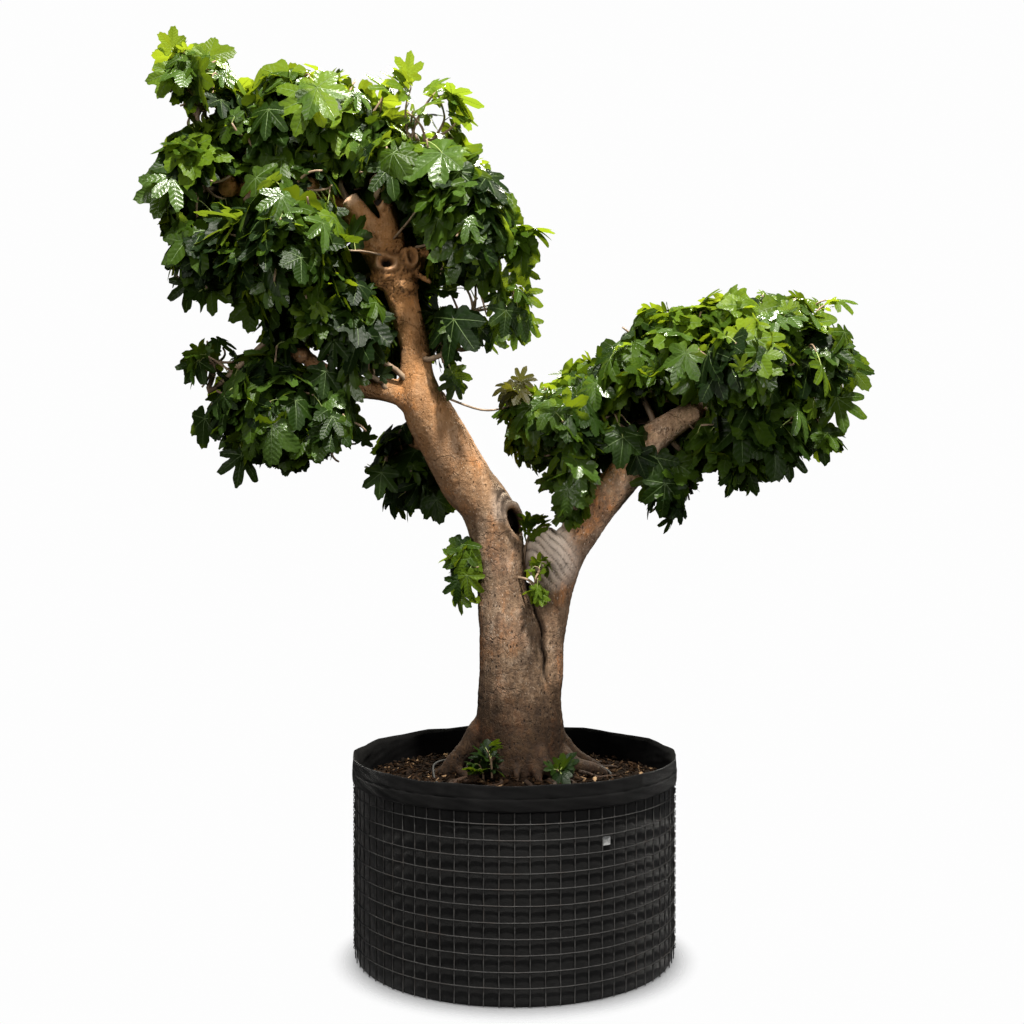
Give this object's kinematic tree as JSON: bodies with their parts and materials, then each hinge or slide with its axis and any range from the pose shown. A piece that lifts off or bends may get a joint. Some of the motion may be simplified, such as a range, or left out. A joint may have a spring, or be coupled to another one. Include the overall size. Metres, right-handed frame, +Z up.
{
  "type": "potted fig tree",
  "caption": "Old fig tree with two leaning stems and a broad leafy crown, standing in a round fabric pot that a wire cage holds up.",
  "frame": {"origin": "middle of the pot's flat underside, where it stands on the ground", "axes": "+Z up; -Y is the front of the picture; +X towards the lower, right-hand stem; the higher left stem leans to -X"},
  "size_m": [2.6002, 1.166, 3.3285],
  "materials": {
    "pot_fabric": "black woven ground-cover fabric, dull",
    "cage_wire": "dark weathered wire mesh",
    "tag_plate": "plain grey plate",
    "soil": "moist potting soil with bark mulch",
    "bark": "grey-tan smooth bark",
    "leaves": "green leaves with a soft sheen"
  },
  "bodies": {
    "root": {"bough_back_left": "bark", "bough_behind": "bark", "bough_far_left": "bark", "bough_left": "bark", "bough_low_left": "bark", "bough_low_left_fork": "bark", "bough_right": "bark", "bough_right_back": "bark", "bough_right_end": "bark", "bough_right_inner": "bark", "bough_right_stub": "bark", "bough_top": "bark", "bough_upper_left": "bark", "bough_upper_right": "bark", "foliage_behind": "leaves", "foliage_crotch_tuft": "leaves", "foliage_crown_back": "leaves", "foliage_crown_back_low": "leaves", "foliage_crown_middle": "leaves", "foliage_crown_right": "leaves", "foliage_crown_right_low": "leaves", "foliage_crown_top": "leaves", "foliage_left_back": "leaves", "foliage_left_end": "leaves", "foliage_left_front": "leaves", "foliage_left_hang": "leaves", "foliage_left_tip": "leaves", "foliage_left_top": "leaves", "foliage_low_front": "leaves", "foliage_low_left": "leaves", "foliage_low_left_tip": "leaves", "foliage_low_middle": "leaves", "foliage_right_back": "leaves", "foliage_right_back_left": "leaves", "foliage_right_front": "leaves", "foliage_right_hang": "leaves", "foliage_right_inner": "leaves", "foliage_right_low": "leaves", "foliage_right_middle": "leaves", "foliage_right_tip": "leaves", "foliage_right_top": "leaves", "foliage_right_tuft": "leaves", "foliage_trunk_tuft": "leaves", "leader": "bark", "pot_liner": "pot_fabric", "soil": "soil", "tag": "tag_plate", "trunk": "bark", "wire_cage": "cage_wire"}
  },
  "joints": []
}
